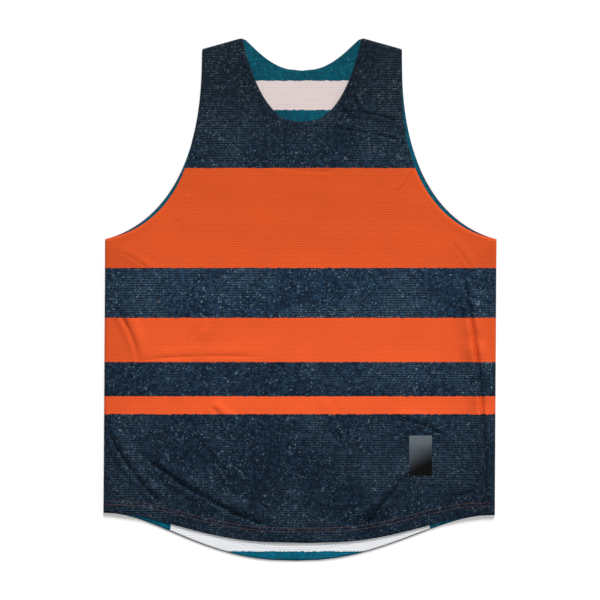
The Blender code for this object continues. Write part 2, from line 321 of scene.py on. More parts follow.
def lay_side(mesh, layout, parts, crowd, height, face_down):
    """The body and both straps of one side of a ply."""
    rows, neck, ends, tops = layout
    left = stations(ends[:, 0], ends[:, 1], parts, crowd)
    right = stations(ends[:, 3], ends[:, 2], parts, crowd)[:, ::-1]
    body = rows <= neck
    strap = rows >= neck
    whole = np.concatenate([left, right[:, 1:]], axis=1)
    over = [np.append(rows[strap][:-1], top) for top in tops]
    for x, y in ((whole[body], rows[body]), (left[strap], over[0]), (right[strap], over[1])):
        y = np.broadcast_to(y[:, None], x.shape)
        lay_grid(mesh, x, y, height(x, y), face_down)


def make_ply(name, cut, face, under, columns, under_columns, per_rib=ROWS_PER_RIB):
    """One ply as a closed shell, from the heights of its sides and the columns of half a row."""
    rows, neck = rows_of(cut, per_rib)
    tops = [tip[1] for tip in tips_of(cut[0])]
    layout = rows, neck, ends_of_rows(cut, rows, neck), tops
    mesh = bmesh.new()
    lay_side(mesh, layout, columns, CROWDED["face"], face, face_down=False)
    lay_side(mesh, layout, under_columns, CROWDED["under"], under, face_down=True)
    bmesh.ops.remove_doubles(mesh, verts=mesh.verts, dist=WELD)
    loose = sum(not edge.is_manifold for edge in mesh.edges)
    made = finished(name, mesh)
    print(name, len(rows), "rows,", len(made.data.polygons), "faces,", loose, "open edges")
    return made


def finished(name, mesh):
    """An object at the origin from a bmesh, shaded smooth."""
    data = bpy.data.meshes.new(name)
    mesh.to_mesh(data)
    mesh.free()
    data.shade_smooth()
    piece = bpy.data.objects.new(name, data)
    bpy.context.scene.collection.objects.link(piece)
    return piece


# %% [markdown]
# ## How the plies lie
#
# The back lies flat, its lining on it, then the front's lining, and the front on top with a
# little air under it.  Every height is a function of a point, so that a stitch or a label can
# ask for the height under it.  The distance from the nearest edge of the cut piece does most
# of the work: it makes the edges roll down and the air swell.

# %% Levels and edges
PLY = 1.0 * MM
GAP = 0.3 * MM
BACK_TOP = PLY
BACK_LINING_TOP = BACK_TOP + GAP + PLY
FRONT_LINING_TOP = BACK_LINING_TOP + GAP + PLY
FRONT_TOP = FRONT_LINING_TOP + GAP + PLY
ON_BACK = BACK_TOP + GAP
ON_LINING = BACK_LINING_TOP + GAP
FRONT_FOOT = dict(zip(EDGES, (ON_LINING, ON_BACK, ON_LINING, ON_BACK, ON_LINING)))
FRONT_ROLL = dict(zip(EDGES, np.array([2.2, 5.0, 3.6, 5.0, 3.4]) * MM))
AIR = 2.8 * MM
AIR_REACH = 95 * MM
UNDER_AIR = 0.4
RIB_HEIGHT = 0.16 * MM


class Edges:
    """Distance from an outline, and values that change along it."""

    def __init__(self, cut):
        points, self.kinds = cut
        self.a, self.along = points, np.roll(points, -1, axis=0) - points
        self.squared = (self.along**2).sum(axis=1)
        self.tree = KDTree(len(points))
        for index, (x, y) in enumerate(points.tolist()):
            self.tree.insert((x, y, 0), index)
        self.tree.balance()

    def nearest(self, x, y):
        """Distance to the outline, and the number of the nearest point along it."""
        flat = np.stack([x.ravel(), y.ravel()], axis=1)
        close = np.array([self.tree.find((*point, 0))[1] for point in flat.tolist()])
        near = (close[:, None] + (-2, -1, 0, 1)) % len(self.a)
        offset = flat[:, None] - self.a[near]
        share = np.clip((offset * self.along[near]).sum(axis=2) / self.squared[near], 0, 1)
        gaps = np.linalg.norm(offset - share[..., None] * self.along[near], axis=2)
        chosen = np.arange(len(flat)), gaps.argmin(axis=1)
        away, index = gaps[chosen], near[chosen] + share[chosen]
        away[away < WELD] = 0
        return away.reshape(x.shape), index.reshape(x.shape)

    def smooth(self, values, reach=6):
        """values[kind] at each point of the outline, evened out past the corners."""
        raw = np.array([values[kind] for kind in self.kinds])
        shifted = [np.roll(raw, s) for s in range(-reach, reach + 1)]
        return np.mean(shifted, axis=0)

    def at(self, values, index):
        return np.interp(index % len(values), np.arange(len(values) + 1), [*values, values[0]])


front_edges = Edges(front_cut)
front_foot = front_edges.smooth(FRONT_FOOT)
front_roll = front_edges.smooth(FRONT_ROLL)
front_seams = front_edges.smooth(dict(zip(EDGES, (0, 0, 1, 0, 1))))

# %% [markdown]
# ## Folds
#
# Cloth that was smoothed out by hand keeps a few soft folds.  Each row of the table is one
# crease in millimetres: where it starts and ends, how far its middle bows to the left of that
# line, how high the cloth swells on its left, how far that swell reaches, and how deep the
# crease itself sinks.  A simulation would put them anywhere; a table puts them where they
# were seen.

# %% The folds of the front
Fold = namedtuple("Fold", "x0 y0 x1 y1 bow rise reach sink")
FOLDS = (
    Fold(x0=-279, y0=-164, x1=-189, y1=-292, bow=-9, rise=4.6, reach=25, sink=2.0),
    Fold(x0=-231, y0=-212, x1=-22, y1=-327, bow=-11, rise=4.4, reach=27, sink=1.9),
    Fold(x0=-148, y0=-191, x1=-92, y1=-264, bow=2, rise=3.4, reach=20, sink=1.8),
    Fold(x0=-128, y0=-148, x1=-90, y1=-184, bow=1, rise=2.3, reach=18, sink=1.2),
    Fold(x0=-272, y0=2, x1=-226, y1=-94, bow=9, rise=2.4, reach=23, sink=1.3),
    Fold(x0=222, y0=62, x1=260, y1=-304, bow=11, rise=3.8, reach=23, sink=2.0),
    Fold(x0=260, y0=-304, x1=222, y1=62, bow=-11, rise=2.6, reach=24, sink=0.6),
    Fold(x0=86, y0=-324, x1=162, y1=-235, bow=2, rise=6.0, reach=24, sink=2.8),
    Fold(x0=128, y0=-170, x1=206, y1=-196, bow=8, rise=2.2, reach=20, sink=1.4),
    Fold(x0=52, y0=264, x1=148, y1=246, bow=4, rise=1.6, reach=15, sink=0.9),
    Fold(x0=38, y0=240, x1=148, y1=220, bow=3, rise=1.6, reach=15, sink=0.9),
    Fold(x0=-104, y0=20, x1=-196, y1=-180, bow=-12, rise=2.0, reach=30, sink=0.9),
)
CREASES = (
    Fold(x0=-106, y0=-258, x1=-62, y1=-306, bow=2, rise=1.4, reach=15, sink=1.1),
    Fold(x0=-228, y0=-86, x1=-44, y1=-82, bow=4, rise=0.7, reach=20, sink=0.5),
    Fold(x0=-262, y0=-244, x1=-232, y1=-282, bow=-2, rise=0.6, reach=14, sink=0.5),
    Fold(x0=200, y0=-276, x1=248, y1=-268, bow=-3, rise=1.0, reach=14, sink=0.7),
    Fold(x0=136, y0=148, x1=162, y1=190, bow=-3, rise=0.8, reach=13, sink=0.6),
    Fold(x0=-172, y0=104, x1=-150, y1=150, bow=-3, rise=0.7, reach=14, sink=0.4),
    Fold(x0=206, y0=88, x1=250, y1=22, bow=3, rise=0.6, reach=16, sink=0.4),
    Fold(x0=-254, y0=66, x1=-204, y1=34, bow=3, rise=0.7, reach=14, sink=0.4),
    Fold(x0=-60, y0=-262, x1=36, y1=-300, bow=-4, rise=0.6, reach=20, sink=0.3),
    Fold(x0=88, y0=-224, x1=26, y1=-124, bow=-8, rise=0.5, reach=26, sink=0.3),
    Fold(x0=-70, y0=194, x1=56, y1=180, bow=-6, rise=0.5, reach=22, sink=0.3),
    Fold(x0=-36, y0=94, x1=-116, y1=26, bow=6, rise=0.4, reach=24, sink=0.3),
    Fold(x0=66, y0=-24, x1=114, y1=72, bow=-6, rise=0.5, reach=24, sink=0.3),
    Fold(x0=-96, y0=268, x1=-136, y1=206, bow=4, rise=0.8, reach=16, sink=0.5),
    Fold(x0=186, y0=-192, x1=232, y1=-234, bow=5, rise=0.7, reach=14, sink=0.5),
    Fold(x0=-128, y0=338, x1=-96, y1=316, bow=2, rise=0.5, reach=12, sink=0.3),
    Fold(x0=98, y0=338, x1=132, y1=298, bow=3, rise=0.5, reach=12, sink=0.3),
)
FOLD_TAPER = 0.2
FAR_SIDE = 0.5
FAR_REACH = 0.6
CREASE_SHARE = 0.1
Unevenness = namedtuple("Unevenness", "share spacing")
LONG_UNEVENNESS = Unevenness(0.22, 13 * MM)
SHORT_UNEVENNESS = Unevenness(0.15, 5.1 * MM)
FULL = 27 / 4  # makes s * (1 - s)^2 rise to 1, which it does at s = 1/3


def fold_height(fold, x, y):
    """The swell to the left of a crease, a lower one to its right, and the crease."""
    start, end = np.array([fold.x0, fold.y0]) * MM, np.array([fold.x1, fold.y1]) * MM
    length = np.linalg.norm(end - start)
    along = (end - start) / length
    u = (x - start[0]) * along[0] + (y - start[1]) * along[1]
    v = -(x - start[0]) * along[1] + (y - start[1]) * along[0]
    share = np.clip(u / length, 0, 1)
    v = v - fold.bow * MM * 4 * share * (1 - share)
    reach = fold.reach * MM
    side = np.where(v > 0, v / reach, -v / (FAR_REACH * reach))
    swell = FULL * side * np.maximum(0, 1 - side) ** 2 * np.where(v > 0, 1, FAR_SIDE)
    crease = np.exp(-((v / (CREASE_SHARE * reach)) ** 2))
    ease = np.clip(np.minimum(share, 1 - share) / FOLD_TAPER, 0, 1)
    ease = ease * ease * (3 - 2 * ease)
    uneven = 1 + LONG_UNEVENNESS.share * np.sin(u / LONG_UNEVENNESS.spacing + fold.x0)
    uneven = uneven + SHORT_UNEVENNESS.share * np.sin(u / SHORT_UNEVENNESS.spacing)
    return (fold.rise * swell - fold.sink * crease) * MM * ease * uneven


# %% [markdown]
# ## The height of the front
#
# It adds up what the hand feels: the air under the ply, the folds, slow waves too faint to
# name, the doubled hem with its two sunken rows of stitches, and last the ribs.  Near an edge
# all of it gives way to the roll of the edge.  The underside has fewer columns, so it keeps a
# ply's thickness below the lowest that the face is close by, and no crease cuts through it.

# %% Height functions
TurnedIn = namedtuple("TurnedIn", "width step softness")
HEM = TurnedIn(width=22.8 * MM, step=0.45 * MM, softness=1.4 * MM)
SEAM = TurnedIn(width=8.0 * MM, step=0.18 * MM, softness=0.8 * MM)
HEM_NARROWING = 5.0 * MM
STITCH_ROWS = (16.2 * MM, 21.2 * MM)
GROOVE, GROOVE_WIDTH = 0.28 * MM, 1.3 * MM
PUCKER, PUCKER_SPACING, PUCKER_DRIFT = 0.07 * MM, 1.9 * MM, 31 * MM
PUCKER_LEVEL, PUCKER_REACH = 9 * MM, 7 * MM
THINNEST = 0.35 * MM
RIB_START, RIB_FULL = 1.2 * MM, 3.2 * MM
WAVE_HEIGHT, WAVE_BEND, BEND_RATE = 0.7 * MM, 1.7, 9
Wave = namedtuple("Wave", "across up start")  # radians per metre twice, then radians
WAVES = (
    Wave(41, 23, 0.3),
    Wave(-29, 37, 1.9),
    Wave(17, -61, 4.4),
    Wave(67, 11, 2.6),
    Wave(13, 97, 5.2),
)
SWELL_EDGE = 14 * MM
UNDER_ROLL = 4.6 * MM
CLOSE_BY = np.arange(-12, 13, 2) * MM
front_hem = leaning(hanging(FRONT_HEM, SIDE_END))
back_hem = leaning(hanging(BACK_HEM, SIDE_END))


def narrowing(x):
    """How much less cloth is turned up towards the side seams."""
    return HEM_NARROWING * np.abs(x / HALF_CHEST) ** 6


def above_hem(hem, x, y):
    """How far up from a hem a point lies, square to it, and as if the hem were nowhere narrow."""
    slope = np.gradient(hem[:, 1], hem[:, 0])
    tilt = np.interp(x, hem[:, 0], slope)
    return (y - np.interp(x, hem[:, 0], hem[:, 1])) / np.sqrt(1 + tilt**2) + narrowing(x)


def rising(away, start, end):
    """0 up to start from the edge, 1 from end on, and an even slope between."""
    return np.clip((away - start) / (end - start), 0, 1)


def doubled(away, turned_in):
    """The soft step where cloth that was turned in ends."""
    past = np.tanh((away - turned_in.width) / turned_in.softness)
    return turned_in.step / 2 * (1 - past)


def hem_relief(up, x):
    """The doubled cloth of the hem, the stitch grooves and the puckers below them."""
    grooves = sum(np.exp(-(((up - row) / GROOVE_WIDTH) ** 2)) for row in STITCH_ROWS)
    puckers = np.sin(x / PUCKER_SPACING + 2 * np.sin(x / PUCKER_DRIFT))
    puckers = puckers * np.exp(-(((up - PUCKER_LEVEL) / PUCKER_REACH) ** 2))
    return doubled(up, HEM) - GROOVE * grooves + PUCKER * puckers


def slow_waves(x, y):
    """Waves of several centimetres, no two alike, each bent by a slower one."""
    total = 0
    for wave in WAVES:
        bend = WAVE_BEND * np.sin(y * BEND_RATE + wave.start)
        total = total + np.sin(x * wave.across + y * wave.up + wave.start + bend)
    return WAVE_HEIGHT * total / len(WAVES)


def seam_relief(away, index):
    """The cloth turned in at the neck and armholes, which shows as a faint step."""
    return front_edges.at(front_seams, index) * doubled(away, SEAM)


def ribs(y):
    """Ridges of the knit, half above and half below the cloth's middle."""
    return RIB_HEIGHT / 2 * np.cos(2 * np.pi * y / RIB)


def air_under(away):
    """How far the front floats above the lining, from how far a point lies from its edge."""
    far = 1 - np.minimum(1, away / AIR_REACH)
    return AIR * (1 - far * far)


def swell(x, y, air, folds=FOLDS + CREASES):
    """All folds and waves together, which sink no deeper than the air lets them."""
    folds = sum(fold_height(fold, x, y) for fold in folds) + slow_waves(x, y)
    return np.maximum(folds, THINNEST - PLY - air * (1 - UNDER_AIR))


def front_face(x, y, folds=FOLDS + CREASES):
    """The upper side of the front."""
    away, index = front_edges.nearest(x, y)
    air = air_under(away)
    top = FRONT_TOP + air + swell(x, y, air, folds) * rising(away, 0, SWELL_EDGE)
    top = top + hem_relief(above_hem(front_hem, x, y), x) + seam_relief(away, index)
    top = top + ribs(y) * rising(away, RIB_START, RIB_FULL)
    foot = front_edges.at(front_foot, index)
    turn = np.clip(away / front_edges.at(front_roll, index), 0, 1)
    return foot + (top - foot) * np.sqrt(1 - (1 - turn) ** 2)


def front_under(x, y):
    """The lower side of the front, one ply below the lowest that the face is close by."""
    away, index = front_edges.nearest(x, y)
    air = air_under(away)
    close_by = np.min([swell(x + shift, y, air) for shift in CLOSE_BY], axis=0)
    level = air + close_by * rising(away, 0, SWELL_EDGE)
    low = FRONT_TOP - PLY + np.maximum(level, air * UNDER_AIR)
    foot = front_edges.at(front_foot, index)
    turn = np.clip((away - PLY) / UNDER_ROLL, 0, 1)
    return foot + (low - foot) * np.sqrt(1 - (1 - turn) ** 2)


outer_front = make_ply(
    "outer_front", front_cut, front_face, front_under, columns=92, under_columns=28
)


# %% [markdown]
# The other plies lie flat.  The back lining shows at the neck, beside the armholes and below
# the front hem, so it has ribs and a stitched hem.  The back rests on the floor: its outer
# side faces down, so there it is the under grid's turn to be the fine one.


# %% The linings and the back
LINING_RELIEF = 0.5  # of the front's
LINING_EDGE = 2 * MM
BACK_EDGE = 4.2 * MM
DEEPEST = 0.6 * MM


def flat_ply(cut, low, high, edge=0.5 * MM):
    """Heights of a flat ply between two levels, its edges rounded."""
    edges = Edges(cut)
    middle = (low + high) / 2

    def rounded(level, x, y):
        away, _ = edges.nearest(x, y)
        turn = np.clip(away / edge, 0, 1)
        return middle + (level - middle) * np.sqrt(1 - (1 - turn) ** 2), away

    return rounded


def lining_heights(cut, low, high, hem):
    rounded = flat_ply(cut, low, high)

    def face(x, y):
        z, away = rounded(high, x, y)
        relief = ribs(y) + hem_relief(above_hem(hem, x, y), x) * LINING_RELIEF
        return z + relief * rising(away, 0, LINING_EDGE)

    def under(x, y):
        return rounded(low, x, y)[0]

    return face, under


inner_back_face, inner_back_under = lining_heights(
    back_lining_cut, ON_BACK, BACK_LINING_TOP, back_hem
)
inner_back = make_ply(
    "inner_back",
    back_lining_cut,
    inner_back_face,
    inner_back_under,
    columns=50,
    under_columns=9,
)

front_lining_shape = flat_ply(front_lining_cut, ON_LINING, FRONT_LINING_TOP)
inner_front = make_ply(
    "inner_front",
    front_lining_cut,
    face=lambda x, y: front_lining_shape(FRONT_LINING_TOP, x, y)[0],
    under=lambda x, y: front_lining_shape(ON_LINING, x, y)[0],
    columns=20,
    under_columns=9,
    per_rib=1,
)

BACK_FOLDS = (
    Fold(x0=-240, y0=-60, x1=-176, y1=-250, bow=12, rise=0, reach=20, sink=0.7),
    Fold(x0=-90, y0=-130, x1=40, y1=-300, bow=-14, rise=0, reach=22, sink=0.6),
    Fold(x0=210, y0=40, x1=236, y1=-210, bow=-16, rise=0, reach=20, sink=0.8),
    Fold(x0=90, y0=-180, x1=170, y1=-290, bow=8, rise=0, reach=18, sink=0.6),
    Fold(x0=-110, y0=250, x1=-30, y1=196, bow=6, rise=0, reach=16, sink=0.5),
    Fold(x0=120, y0=230, x1=64, y1=120, bow=-9, rise=0, reach=18, sink=0.6),
    Fold(x0=-40, y0=80, x1=-150, y1=-10, bow=9, rise=0, reach=18, sink=0.5),
)
back_shape = flat_ply(back_cut, 0.0, BACK_TOP)


def back_outer_side(x, y):
    """The side on the floor: its creases and the valleys of its ribs stand clear of it."""
    z, away = back_shape(0.0, x, y)
    creases = np.clip(-sum(fold_height(fold, x, y) for fold in BACK_FOLDS), 0, DEEPEST)
    return z + (creases + RIB_HEIGHT / 2 - ribs(y)) * rising(away, RIB_START, BACK_EDGE)


def back_inner_side(x, y):
    return back_shape(BACK_TOP, x, y)[0]


outer_back = make_ply(
    "outer_back", back_cut, back_inner_side, back_outer_side, columns=9, under_columns=60
)

# %% [markdown]
# ## Hem stitches
#
# A twin needle sews each hem: two rows of short stitches, 4 mm apart.  One stitch is a
# squashed sphere of a few faces, and copies of it are laid along a line that keeps its
# distance from the hem and follows the cloth up and down.

# %% Sewing the hems
STITCH = 3.0 * MM
STITCH_GAP = 0.55 * MM
THREAD = 0.26 * MM
THREAD_HIGH = 0.8 * THREAD
THREAD_LIFT = 0.3 * THREAD
SEAM_MARGIN = 5 * MM


def stitch_line(hem, row):
    """Where each stitch of a row lies, and which way it runs."""
    slope = np.gradient(hem[:, 1], hem[:, 0])
    square = np.stack([-slope, np.ones_like(slope)], axis=1) / np.hypot(slope, 1)[:, None]
    line = hem + square * (row - narrowing(hem[:, :1]))
    run = np.concatenate([[0], np.cumsum(np.hypot(*np.diff(line, axis=0).T))])
    at = np.arange(SEAM_MARGIN, run[-1] - SEAM_MARGIN, STITCH + STITCH_GAP)
    places = np.stack([np.interp(at, run, line[:, 0]), np.interp(at, run, line[:, 1])], axis=1)
    return places, np.arctan(np.interp(places[:, 0], hem[:, 0], slope))


def sew(name, hem, surface, side):
    """Both rows of stitches of a hem, on the face (side 1) or the underside (side -1)."""
    mesh = bmesh.new()
    for row in STITCH_ROWS:
        places, angles = stitch_line(hem, row)
        heights = surface(places[:, 0], places[:, 1]) + side * THREAD_LIFT
        for (x, y), z, angle in zip(places, heights, angles):
            size = Matrix.Diagonal((STITCH / 2, THREAD, THREAD_HIGH, 1))
            place = Matrix.Translation((x, y, z)) @ Matrix.Rotation(angle, 4, "Z") @ size
            bmesh.ops.create_uvsphere(mesh, u_segments=6, v_segments=4, radius=1, matrix=place)
    made = finished(name, mesh)
    print(name, 2 * len(places), "stitches")
    return made


front_stitches = sew("front_hem_stitches", front_hem, front_face, 1)
lining_stitches = sew("lining_hem_stitches", back_hem, inner_back_face, 1)
back_stitches = sew("back_hem_stitches", back_hem, back_outer_side, -1)

# %% [markdown]
# ## The hem label
#
# A thin smooth patch lies on the wearer's left, just above the hem.  It is a small grid laid
# on the height of the front, but stiffer than the knit: it bends with the swell of a fold and
# spans the crease.  Modifiers give it its thickness and its fine rounded edge.

# %% The label
LABEL_CENTRE = (169 * MM, -219 * MM)
LABEL_SIZE = (32 * MM, 56 * MM)
LABEL_THICK = 0.4 * MM
LABEL_LIFT = 0.2 * MM
LABEL_CORNER = 1.0 * MM
LABEL_ROUNDING = 0.12 * MM
mesh = bmesh.new()
made = bmesh.ops.create_grid(mesh, x_segments=16, y_segments=27, size=0.5)
for vert in made["verts"]:
    vert.co.x = LABEL_CENTRE[0] + vert.co.x * LABEL_SIZE[0]
    vert.co.y = LABEL_CENTRE[1] + vert.co.y * LABEL_SIZE[1]
corners = [vert for vert in mesh.verts if len(vert.link_edges) == 2]
bmesh.ops.bevel(
    mesh,
    geom=corners,
    offset=LABEL_CORNER,
    affect="VERTICES",
    segments=3,
    profile=0.5,
    material=-1,
)
uncreased = [fold._replace(sink=0) for fold in FOLDS + CREASES]
xy = np.array([vert.co[:2] for vert in mesh.verts])
for vert, z in zip(mesh.verts, front_face(xy[:, 0], xy[:, 1], uncreased).tolist()):
    vert.co.z = z + LABEL_LIFT
hem_label = finished("hem_label", mesh)
thicken = hem_label.modifiers.new("thickness", "SOLIDIFY")
thicken.thickness = LABEL_THICK
thicken.offset = 1
rounding = hem_label.modifiers.new("rounded edge", "BEVEL")
rounding.width = LABEL_ROUNDING
rounding.segments = 2
rounding.limit_method = "ANGLE"
rounding.angle_limit = math.radians(50)
print("label", [round(side / MM, 1) for side in hem_label.dimensions], "mm before its thickness")

# %% [markdown]
# ## Colours and cloth
#
# The shader is where knit stops being geometry: the eyelets between the ribs are under a
# millimetre across and the flecks of the print not much more.  They could be painted on an
# image, but formulas on the object's own coordinates stay sharp at any size.  `Shader` below
# is a short hand for adding nodes and joining them up, and `srgb` takes a colour as it should
# look under these lights, which show every colour brighter by the factor `LIGHT`.

# %% A short hand for shader nodes
LIGHT = 1.16


def srgb(red, green, blue):
    """A colour as a screen should show it, for a shader."""
    shown = np.array([red, green, blue]) / 255
    linear = np.where(shown <= 0.04045, shown / 12.92, ((shown + 0.055) / 1.055) ** 2.4)
    return (*np.clip(linear / LIGHT, 0, 1).tolist(), 1.0)


class Shader:
    """A material whose nodes are added one by one."""

    def __init__(self, name):
        self.material = bpy.data.materials.new(name)
        self.material.use_nodes = True
        self.tree = self.material.node_tree
        self.surface = self.tree.nodes["Principled BSDF"]
        self.place = self.add("TexCoord").outputs["Object"]
        shift = {0: self.place, 1: (3.1, 1.7, 0.0)}
        self.offset = self.add("VectorMath", shift).outputs[0]
        apart = self.add("SeparateXYZ", {0: self.place})
        self.x, self.y = apart.outputs["X"], apart.outputs["Y"]

    def join(self, socket, value):
        if isinstance(value, bpy.types.NodeSocket):
            self.tree.links.new(value, socket)
        else:
            socket.default_value = value

    def add(self, kind, sockets=(), **settings):
        node = self.tree.nodes.new("ShaderNode" + kind)
        for key, value in settings.items():
            setattr(node, key, value)
        for key, value in dict(sockets).items():
            self.join(node.inputs[key], value)
        return node

    def maths(self, operation, *values):
        return self.add("Math", dict(enumerate(values)), operation=operation).outputs[0]

    def step(self, value, low, high):
        """0 below low, 1 above high, and a smooth rise between."""
        sockets = {"Value": value, "From Min": low, "From Max": high}
        return self.add("MapRange", sockets, interpolation_type="SMOOTHSTEP").outputs[0]

    def blend(self, factor, first, second, how="MIX"):
        """Two colours mixed: a Mix node takes colours in 6 and 7 and gives one in 2."""
        sockets = {"Factor": factor, 6: first, 7: second}
        return self.add("Mix", sockets, data_type="RGBA", blend_type=how).outputs[2]

    def noise(self, scale, detail=2.0, roughness=0.5, place=None):
        sockets = {"Scale": scale, "Detail": detail, "Roughness": roughness}
        sockets["Vector"] = place or self.place
        return self.add("TexNoise", sockets).outputs["Fac"]

    def set(self, **values):
        for name, value in values.items():
            self.join(self.surface.inputs[name.replace("_", " ")], value)


# %% [markdown]
# The knit repeats: a rib, then a row of eyelets, each row shifted by half a stitch against
# the next.  The same formula sinks the eyelets and darkens them with painted shade.

# %% Knit
EYELET = 2.5 * MM


def knit(shader):
    """How much of a point is rib (1 on top, 0 in the valley) and how much is eyelet."""
    row = shader.maths("DIVIDE", shader.y, RIB)
    rib = shader.maths("COSINE", shader.maths("MULTIPLY", row, 2 * math.pi))
    rib = shader.maths("MULTIPLY_ADD", rib, 0.5, 0.5)
    odd = shader.maths("MULTIPLY", shader.maths("FLOOR", row), 0.5)
    column = shader.maths("ADD", shader.maths("DIVIDE", shader.x, EYELET), odd)
    across = shader.maths("SUBTRACT", shader.maths("FRACT", column), 0.5)
    down = shader.maths("SUBTRACT", shader.maths("FRACT", row), 0.5)
    across = shader.maths("MULTIPLY", across, EYELET / MM)
    down = shader.maths("MULTIPLY", down, RIB / MM * 1.5)
    squares = [shader.maths("MULTIPLY", side, side) for side in (across, down)]
    away = shader.maths("SQRT", shader.maths("ADD", *squares))
    eyelet = shader.maths("SUBTRACT", 1.0, shader.step(away, 0.25, 0.85))
    return rib, eyelet


# %% [markdown]
# A print like this leaves the ground mottled and sprinkled with small flecks: specks where
# the dye missed, larger flakes, and short curled fibres.  Voronoi cells give round dots, so
# they are all cut from noise instead, a fibre being the thin line where noise passes through
# its middle value.


# %% A flecked ground
def flecked(shader, rib, dark, light, pale, tan):
    """A mottled ground between dark and light, with undyed yarn showing in lines and flecks."""
    mottle = shader.step(shader.noise(170.0, 5.0, 0.65), 0.42, 0.66)
    patch = shader.step(shader.noise(34.0, 3.0, 0.6), 0.38, 0.60)
    amount = shader.maths("MULTIPLY_ADD", patch, 0.6, 0.25)
    specks = shader.step(shader.noise(400.0, 2.0, 0.5), 0.58, 0.74)
    specks = shader.maths("MULTIPLY", specks, amount)
    flakes = shader.step(shader.noise(150.0, 3.0, 0.6), 0.68, 0.74)
    line = shader.maths("ABSOLUTE", shader.maths("SUBTRACT", shader.noise(120.0, 1.0), 0.5))
    line = shader.maths("SUBTRACT", 1.0, shader.step(line, 0.008, 0.03))
    broken = shader.step(shader.noise(110.0, 1.0, 0.5, shader.offset), 0.60, 0.68)
    fibres = shader.maths("MULTIPLY", shader.maths("MULTIPLY", line, broken), 0.5)
    rust = shader.step(shader.noise(120.0, 3.0, 0.6, shader.offset), 0.71, 0.75)
    wear_and_twist_shade = shader.maths("MULTIPLY", shader.step(shader.noise(11.0, 2.0), 0.40, 0.70), 0.20)
    wear_and_twist_shade = shader.maths("MULTIPLY", wear_and_twist_shade, shader.step(shader.noise(420.0, 2.0), 0.36, 0.56))
    wear_and_twist_shade = shader.maths("MULTIPLY", wear_and_twist_shade, shader.step(rib, 0.35, 0.85))
    ground = shader.blend(mottle, dark, light)
    for mask in (wear_and_twist_shade, specks, fibres, shader.maths("MULTIPLY", flakes, 0.8)):
        ground = shader.blend(mask, ground, pale)
    return shader.blend(shader.maths("MULTIPLY", rust, 0.6), ground, tan)


# %% [markdown]
# ## The bands
#
# The outer side has three straight orange bands on navy, each narrower than the one above.
# The lining answers with white bands on teal that end short of its sides.  The dye creeps
# along the yarn, so their edges are ragged.

# %% Bands across the body
Band = namedtuple("Band", "top bottom half")
ORANGE_BANDS = (
    Band(top=184 * MM, bottom=44 * MM, half=400 * MM),
    Band(top=-26 * MM, bottom=-88 * MM, half=400 * MM),
    Band(top=-136 * MM, bottom=-161 * MM, half=400 * MM),
)
WHITE_BANDS = (
    Band(top=307 * MM, bottom=266 * MM, half=112 * MM),
    Band(top=20 * MM, bottom=-60 * MM, half=200 * MM),
    Band(top=-281 * MM, bottom=-354 * MM, half=182 * MM),
)
RAGGED = 5.0 * MM
DYE_EDGE = 0.4 * MM


def banded(shader, bands):
    """1 inside the bands, 0 outside them."""
    strays = [
        shader.maths("SUBTRACT", shader.noise(200.0, 5.0, 0.75, place), 0.5)
        for place in (shader.place, shader.offset)
    ]
    x = shader.maths("MULTIPLY_ADD", strays[0], RAGGED, shader.maths("ABSOLUTE", shader.x))
    y = shader.maths("MULTIPLY_ADD", strays[1], RAGGED, shader.y)
    total = 0.0
    for band in bands:
        above = shader.step(y, band.bottom - DYE_EDGE, band.bottom + DYE_EDGE)
        below = shader.step(y, band.top - DYE_EDGE, band.top + DYE_EDGE)
        beside = shader.step(x, band.half - DYE_EDGE, band.half + DYE_EDGE)
        mask = shader.maths("SUBTRACT", above, below)
        mask = shader.maths("MULTIPLY", mask, shader.maths("SUBTRACT", 1.0, beside))
        total = shader.maths("ADD", total, mask)
    return total


